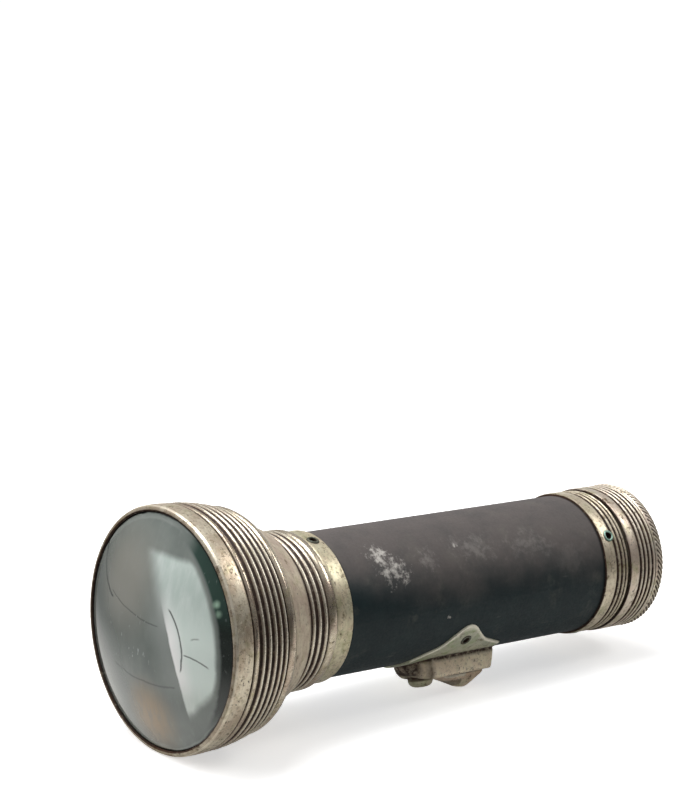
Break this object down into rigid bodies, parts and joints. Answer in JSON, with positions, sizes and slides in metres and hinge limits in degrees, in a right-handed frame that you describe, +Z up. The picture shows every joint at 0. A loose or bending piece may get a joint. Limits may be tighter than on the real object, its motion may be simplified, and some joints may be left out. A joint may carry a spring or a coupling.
{
  "type": "flashlight",
  "caption": "Antique hand torch: black fibre barrel, ribbed plated-brass head with a thick bull's-eye lens, screw end cap and a slide switch with a push button.",
  "frame": {"origin": "centre of the end cap's flat rear face, on the torch's axis", "axes": "+Y runs along the torch's axis from the lens to the end cap, so the lens looks along -Y; +Z is up with the torch lying down, switch underneath and rolled 16 degrees towards +X"},
  "size_m": [0.0632, 0.1666, 0.0632],
  "materials": {
    "plated_brass": "worn nickel plate over brass, aged and pitted",
    "fibre": "black vulcanised fibre, rubbed and dusty",
    "lens_glass": "clear moulded glass, faintly green",
    "lamp_glass": "thin blown glass",
    "silvered": "silvered reflector, slightly tarnished",
    "brass": "bright brass",
    "contact_bronze": "springy bronze",
    "spring_steel": "steel wire",
    "fine_wire": "fine lamp wire",
    "insulator": "red insulating fibre",
    "cork": "pressed cork",
    "lamp_cement": "black vitrified insulator",
    "verdigris_brass": "hollow brass rivet with green corrosion",
    "switch_brass": "worn plate with a green tinge",
    "cell_zinc": "drawn zinc",
    "cell_card": "printed-free brown card",
    "cell_pitch": "poured pitch",
    "cell_carbon": "pressed carbon",
    "cell_mix": "pressed manganese mix",
    "cell_paste": "starch paste"
  },
  "bodies": {
    "barrel": {"barrel_tube": "fibre", "front_ferrule": "plated_brass", "rear_ferrule": "plated_brass", "front_ferrule_eyelets": "verdigris_brass", "rear_ferrule_eyelets": "verdigris_brass", "front_contact_strip": "brass", "rear_contact_strip": "brass", "switch_plate": "switch_brass", "switch_housing": "switch_brass", "switch_plate_eyelets": "verdigris_brass", "button_spring": "spring_steel", "front_cell_brass_cap": "brass", "front_cell_carbon_rod": "cell_carbon", "front_cell_pitch_seal": "cell_pitch", "front_cell_zinc_can": "cell_zinc", "front_cell_mix": "cell_mix", "front_cell_paste": "cell_paste", "front_cell_jacket": "cell_card", "rear_cell_brass_cap": "brass", "rear_cell_carbon_rod": "cell_carbon", "rear_cell_pitch_seal": "cell_pitch", "rear_cell_zinc_can": "cell_zinc", "rear_cell_mix": "cell_mix", "rear_cell_paste": "cell_paste", "rear_cell_jacket": "cell_card"},
    "slider": {"switch_slider": "plated_brass", "slider_shoe": "insulator", "slider_contact": "contact_bronze"},
    "button": {"push_button": "plated_brass"},
    "contact_carrier": {"contact_disc": "insulator", "contact_disc_rivet": "brass"},
    "head": {"head_shell": "plated_brass", "reflector": "silvered", "lamp_socket": "brass", "socket_insulator": "insulator"},
    "lamp_carrier": {"lamp_contact_cup": "contact_bronze"},
    "lamp": {"lamp_globe": "lamp_glass", "lamp_base": "brass", "lamp_base_insulator": "lamp_cement", "lamp_tip": "spring_steel", "lamp_filament": "fine_wire", "lamp_lead_wires": "fine_wire", "lamp_bead": "lamp_glass"},
    "lens_carrier": {"lens": "lens_glass", "lens_gasket": "cork"},
    "bezel": {"bezel_ring": "plated_brass"},
    "spring_carrier": {"end_cap_spring": "spring_steel"},
    "cap": {"end_cap": "plated_brass"}
  },
  "joints": [
    {"name": "switch_slide", "type": "slide", "parent": "barrel", "child": "slider", "axis": [0, -1, 0], "range_m": [0, 0.0019]},
    {"name": "button_press", "type": "slide", "parent": "barrel", "child": "button", "axis": [-0.2756, 0, 0.9613], "range_m": [0, 0.0012], "stiffness_N_per_m": 800, "springref_m": -0.0008, "deforming": ["button_spring"]},
    {"name": "head_travel", "type": "slide", "parent": "barrel", "child": "contact_carrier", "axis": [0, -1, 0], "range_m": [0, 0.0043]},
    {"name": "head_turn", "type": "hinge", "parent": "contact_carrier", "child": "head", "pos_m": [0, 0, 0], "axis": [0, -1, 0], "range_deg": [0, 720]},
    {"name": "lamp_travel", "type": "slide", "parent": "head", "child": "lamp_carrier", "axis": [0, -1, 0], "range_m": [0, 0.0036]},
    {"name": "lamp_turn", "type": "hinge", "parent": "lamp_carrier", "child": "lamp", "pos_m": [0, 0, 0], "axis": [0, -1, 0], "range_deg": [0, 722]},
    {"name": "bezel_travel", "type": "slide", "parent": "head", "child": "lens_carrier", "axis": [0, -1, 0], "range_m": [0, 0.0021]},
    {"name": "bezel_turn", "type": "hinge", "parent": "lens_carrier", "child": "bezel", "pos_m": [0, 0, 0], "axis": [0, -1, 0], "range_deg": [0, 360]},
    {"name": "end_cap_travel", "type": "slide", "parent": "barrel", "child": "spring_carrier", "axis": [0, 1, 0], "range_m": [0, 0.0052]},
    {"name": "end_cap_turn", "type": "hinge", "parent": "spring_carrier", "child": "cap", "pos_m": [0, 0, 0], "axis": [0, 1, 0], "range_deg": [0, 1080]}
  ],
  "couplings": [
    {"joint": "head_travel", "follows": "head_turn", "m_per_rad": 0.00033423},
    {"joint": "lamp_turn", "follows": "lamp_travel", "rad_per_m": 3490.7},
    {"joint": "bezel_travel", "follows": "bezel_turn", "m_per_rad": 0.00031831},
    {"joint": "end_cap_travel", "follows": "end_cap_turn", "m_per_rad": 0.00027056}
  ]
}
